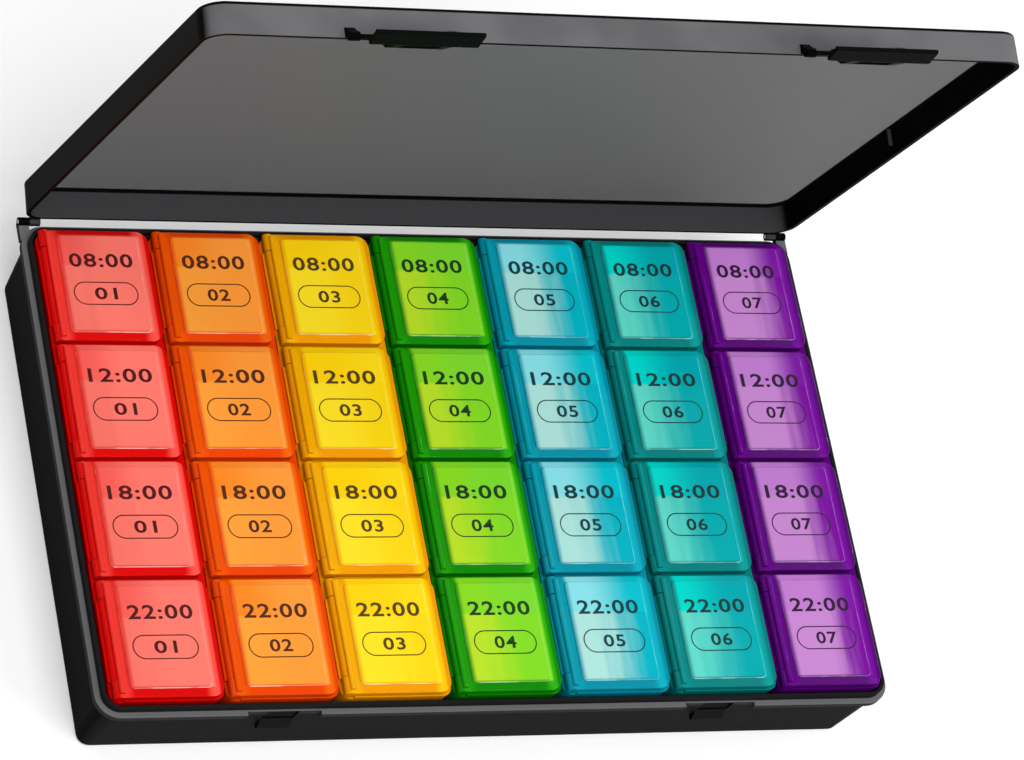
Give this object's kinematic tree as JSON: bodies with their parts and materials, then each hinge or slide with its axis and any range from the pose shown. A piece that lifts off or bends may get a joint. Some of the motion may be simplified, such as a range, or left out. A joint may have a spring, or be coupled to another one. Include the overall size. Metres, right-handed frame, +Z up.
{
  "type": "weekly pill organizer",
  "caption": "Weekly pill organizer: a dark tray under a hinged clear cover, with lift-out day boxes whose compartments shut with flip lids.",
  "frame": {"origin": "centre of the tray's flat bottom, which rests on the table", "axes": "+X along the week from the first day's box to the last, +Y from the latches to the cover's hinge, +Z up"},
  "size_m": [0.226, 0.1499, 0.1816],
  "materials": {
    "tray_plastic": "satin",
    "cover_plastic": "clear, smoke tinted",
    "latch_plastic": "satin",
    "pin_steel": "satin",
    "red_plastic": "satin",
    "orange_plastic": "satin",
    "yellow_plastic": "satin",
    "green_plastic": "satin",
    "blue_plastic": "satin",
    "teal_plastic": "satin",
    "purple_plastic": "satin"
  },
  "bodies": {
    "tray": {"tray": "tray_plastic", "hinge_pin_left": "pin_steel", "hinge_pin_right": "pin_steel"},
    "case_lid": {"case_lid": "cover_plastic"},
    "latch_left": {"latch_left": "latch_plastic"},
    "latch_right": {"latch_right": "latch_plastic"},
    "pill_box_1": {"pill_box_1": "red_plastic"},
    "pill_box_2": {"pill_box_2": "orange_plastic"},
    "pill_box_3": {"pill_box_3": "yellow_plastic"},
    "pill_box_4": {"pill_box_4": "green_plastic"},
    "pill_box_5": {"pill_box_5": "blue_plastic"},
    "pill_box_6": {"pill_box_6": "teal_plastic"},
    "pill_box_7": {"pill_box_7": "purple_plastic"},
    "flip_lid_1_1": {"flip_lid_1_1": "red_plastic"},
    "flip_lid_1_2": {"flip_lid_1_2": "red_plastic"},
    "flip_lid_1_3": {"flip_lid_1_3": "red_plastic"},
    "flip_lid_1_4": {"flip_lid_1_4": "red_plastic"},
    "flip_lid_2_1": {"flip_lid_2_1": "orange_plastic"},
    "flip_lid_2_2": {"flip_lid_2_2": "orange_plastic"},
    "flip_lid_2_3": {"flip_lid_2_3": "orange_plastic"},
    "flip_lid_2_4": {"flip_lid_2_4": "orange_plastic"},
    "flip_lid_3_1": {"flip_lid_3_1": "yellow_plastic"},
    "flip_lid_3_2": {"flip_lid_3_2": "yellow_plastic"},
    "flip_lid_3_3": {"flip_lid_3_3": "yellow_plastic"},
    "flip_lid_3_4": {"flip_lid_3_4": "yellow_plastic"},
    "flip_lid_4_1": {"flip_lid_4_1": "green_plastic"},
    "flip_lid_4_2": {"flip_lid_4_2": "green_plastic"},
    "flip_lid_4_3": {"flip_lid_4_3": "green_plastic"},
    "flip_lid_4_4": {"flip_lid_4_4": "green_plastic"},
    "flip_lid_5_1": {"flip_lid_5_1": "blue_plastic"},
    "flip_lid_5_2": {"flip_lid_5_2": "blue_plastic"},
    "flip_lid_5_3": {"flip_lid_5_3": "blue_plastic"},
    "flip_lid_5_4": {"flip_lid_5_4": "blue_plastic"},
    "flip_lid_6_1": {"flip_lid_6_1": "teal_plastic"},
    "flip_lid_6_2": {"flip_lid_6_2": "teal_plastic"},
    "flip_lid_6_3": {"flip_lid_6_3": "teal_plastic"},
    "flip_lid_6_4": {"flip_lid_6_4": "teal_plastic"},
    "flip_lid_7_1": {"flip_lid_7_1": "purple_plastic"},
    "flip_lid_7_2": {"flip_lid_7_2": "purple_plastic"},
    "flip_lid_7_3": {"flip_lid_7_3": "purple_plastic"},
    "flip_lid_7_4": {"flip_lid_7_4": "purple_plastic"}
  },
  "joints": [
    {"name": "case_lid_hinge", "type": "hinge", "parent": "tray", "child": "case_lid", "pos_m": [0, 0.07145, 0.0255], "axis": [-1, 0, 0], "range_deg": [-80.5, 25]},
    {"name": "latch_left_hinge", "type": "hinge", "parent": "case_lid", "child": "latch_left", "pos_m": [-0.0622, 0.04763, 0.16726], "axis": [-1, 0, 0], "range_deg": [-80, 45]},
    {"name": "latch_right_hinge", "type": "hinge", "parent": "case_lid", "child": "latch_right", "pos_m": [0.0622, 0.04763, 0.16726], "axis": [-1, 0, 0], "range_deg": [-80, 45]},
    {"name": "pill_box_1_lift", "type": "slide", "parent": "tray", "child": "pill_box_1", "axis": [0, 0, 1], "range_m": [0, 0.045]},
    {"name": "pill_box_2_lift", "type": "slide", "parent": "tray", "child": "pill_box_2", "axis": [0, 0, 1], "range_m": [0, 0.045]},
    {"name": "pill_box_3_lift", "type": "slide", "parent": "tray", "child": "pill_box_3", "axis": [0, 0, 1], "range_m": [0, 0.045]},
    {"name": "pill_box_4_lift", "type": "slide", "parent": "tray", "child": "pill_box_4", "axis": [0, 0, 1], "range_m": [0, 0.045]},
    {"name": "pill_box_5_lift", "type": "slide", "parent": "tray", "child": "pill_box_5", "axis": [0, 0, 1], "range_m": [0, 0.045]},
    {"name": "pill_box_6_lift", "type": "slide", "parent": "tray", "child": "pill_box_6", "axis": [0, 0, 1], "range_m": [0, 0.045]},
    {"name": "pill_box_7_lift", "type": "slide", "parent": "tray", "child": "pill_box_7", "axis": [0, 0, 1], "range_m": [0, 0.045]},
    {"name": "flip_lid_1_1_hinge", "type": "hinge", "parent": "pill_box_1", "child": "flip_lid_1_1", "pos_m": [-0.1081, 0.05033, 0.0293], "axis": [0, -1, 0], "range_deg": [0, 105]},
    {"name": "flip_lid_1_2_hinge", "type": "hinge", "parent": "pill_box_1", "child": "flip_lid_1_2", "pos_m": [-0.1081, 0.01678, 0.0293], "axis": [0, -1, 0], "range_deg": [0, 105]},
    {"name": "flip_lid_1_3_hinge", "type": "hinge", "parent": "pill_box_1", "child": "flip_lid_1_3", "pos_m": [-0.1081, -0.01678, 0.0293], "axis": [0, -1, 0], "range_deg": [0, 105]},
    {"name": "flip_lid_1_4_hinge", "type": "hinge", "parent": "pill_box_1", "child": "flip_lid_1_4", "pos_m": [-0.1081, -0.05033, 0.0293], "axis": [0, -1, 0], "range_deg": [0, 105]},
    {"name": "flip_lid_2_1_hinge", "type": "hinge", "parent": "pill_box_2", "child": "flip_lid_2_1", "pos_m": [-0.0766, 0.05033, 0.0293], "axis": [0, -1, 0], "range_deg": [0, 105]},
    {"name": "flip_lid_2_2_hinge", "type": "hinge", "parent": "pill_box_2", "child": "flip_lid_2_2", "pos_m": [-0.0766, 0.01678, 0.0293], "axis": [0, -1, 0], "range_deg": [0, 105]},
    {"name": "flip_lid_2_3_hinge", "type": "hinge", "parent": "pill_box_2", "child": "flip_lid_2_3", "pos_m": [-0.0766, -0.01678, 0.0293], "axis": [0, -1, 0], "range_deg": [0, 105]},
    {"name": "flip_lid_2_4_hinge", "type": "hinge", "parent": "pill_box_2", "child": "flip_lid_2_4", "pos_m": [-0.0766, -0.05033, 0.0293], "axis": [0, -1, 0], "range_deg": [0, 105]},
    {"name": "flip_lid_3_1_hinge", "type": "hinge", "parent": "pill_box_3", "child": "flip_lid_3_1", "pos_m": [-0.0451, 0.05033, 0.0293], "axis": [0, -1, 0], "range_deg": [0, 105]},
    {"name": "flip_lid_3_2_hinge", "type": "hinge", "parent": "pill_box_3", "child": "flip_lid_3_2", "pos_m": [-0.0451, 0.01678, 0.0293], "axis": [0, -1, 0], "range_deg": [0, 105]},
    {"name": "flip_lid_3_3_hinge", "type": "hinge", "parent": "pill_box_3", "child": "flip_lid_3_3", "pos_m": [-0.0451, -0.01678, 0.0293], "axis": [0, -1, 0], "range_deg": [0, 105]},
    {"name": "flip_lid_3_4_hinge", "type": "hinge", "parent": "pill_box_3", "child": "flip_lid_3_4", "pos_m": [-0.0451, -0.05033, 0.0293], "axis": [0, -1, 0], "range_deg": [0, 105]},
    {"name": "flip_lid_4_1_hinge", "type": "hinge", "parent": "pill_box_4", "child": "flip_lid_4_1", "pos_m": [-0.0136, 0.05033, 0.0293], "axis": [0, -1, 0], "range_deg": [0, 105]},
    {"name": "flip_lid_4_2_hinge", "type": "hinge", "parent": "pill_box_4", "child": "flip_lid_4_2", "pos_m": [-0.0136, 0.01678, 0.0293], "axis": [0, -1, 0], "range_deg": [0, 105]},
    {"name": "flip_lid_4_3_hinge", "type": "hinge", "parent": "pill_box_4", "child": "flip_lid_4_3", "pos_m": [-0.0136, -0.01678, 0.0293], "axis": [0, -1, 0], "range_deg": [0, 105]},
    {"name": "flip_lid_4_4_hinge", "type": "hinge", "parent": "pill_box_4", "child": "flip_lid_4_4", "pos_m": [-0.0136, -0.05033, 0.0293], "axis": [0, -1, 0], "range_deg": [0, 105]},
    {"name": "flip_lid_5_1_hinge", "type": "hinge", "parent": "pill_box_5", "child": "flip_lid_5_1", "pos_m": [0.0179, 0.05033, 0.0293], "axis": [0, -1, 0], "range_deg": [0, 105]},
    {"name": "flip_lid_5_2_hinge", "type": "hinge", "parent": "pill_box_5", "child": "flip_lid_5_2", "pos_m": [0.0179, 0.01678, 0.0293], "axis": [0, -1, 0], "range_deg": [0, 105]},
    {"name": "flip_lid_5_3_hinge", "type": "hinge", "parent": "pill_box_5", "child": "flip_lid_5_3", "pos_m": [0.0179, -0.01678, 0.0293], "axis": [0, -1, 0], "range_deg": [0, 105]},
    {"name": "flip_lid_5_4_hinge", "type": "hinge", "parent": "pill_box_5", "child": "flip_lid_5_4", "pos_m": [0.0179, -0.05033, 0.0293], "axis": [0, -1, 0], "range_deg": [0, 105]},
    {"name": "flip_lid_6_1_hinge", "type": "hinge", "parent": "pill_box_6", "child": "flip_lid_6_1", "pos_m": [0.0494, 0.05033, 0.0293], "axis": [0, -1, 0], "range_deg": [0, 105]},
    {"name": "flip_lid_6_2_hinge", "type": "hinge", "parent": "pill_box_6", "child": "flip_lid_6_2", "pos_m": [0.0494, 0.01678, 0.0293], "axis": [0, -1, 0], "range_deg": [0, 105]},
    {"name": "flip_lid_6_3_hinge", "type": "hinge", "parent": "pill_box_6", "child": "flip_lid_6_3", "pos_m": [0.0494, -0.01678, 0.0293], "axis": [0, -1, 0], "range_deg": [0, 105]},
    {"name": "flip_lid_6_4_hinge", "type": "hinge", "parent": "pill_box_6", "child": "flip_lid_6_4", "pos_m": [0.0494, -0.05033, 0.0293], "axis": [0, -1, 0], "range_deg": [0, 105]},
    {"name": "flip_lid_7_1_hinge", "type": "hinge", "parent": "pill_box_7", "child": "flip_lid_7_1", "pos_m": [0.0809, 0.05033, 0.0293], "axis": [0, -1, 0], "range_deg": [0, 105]},
    {"name": "flip_lid_7_2_hinge", "type": "hinge", "parent": "pill_box_7", "child": "flip_lid_7_2", "pos_m": [0.0809, 0.01678, 0.0293], "axis": [0, -1, 0], "range_deg": [0, 105]},
    {"name": "flip_lid_7_3_hinge", "type": "hinge", "parent": "pill_box_7", "child": "flip_lid_7_3", "pos_m": [0.0809, -0.01678, 0.0293], "axis": [0, -1, 0], "range_deg": [0, 105]},
    {"name": "flip_lid_7_4_hinge", "type": "hinge", "parent": "pill_box_7", "child": "flip_lid_7_4", "pos_m": [0.0809, -0.05033, 0.0293], "axis": [0, -1, 0], "range_deg": [0, 105]}
  ]
}
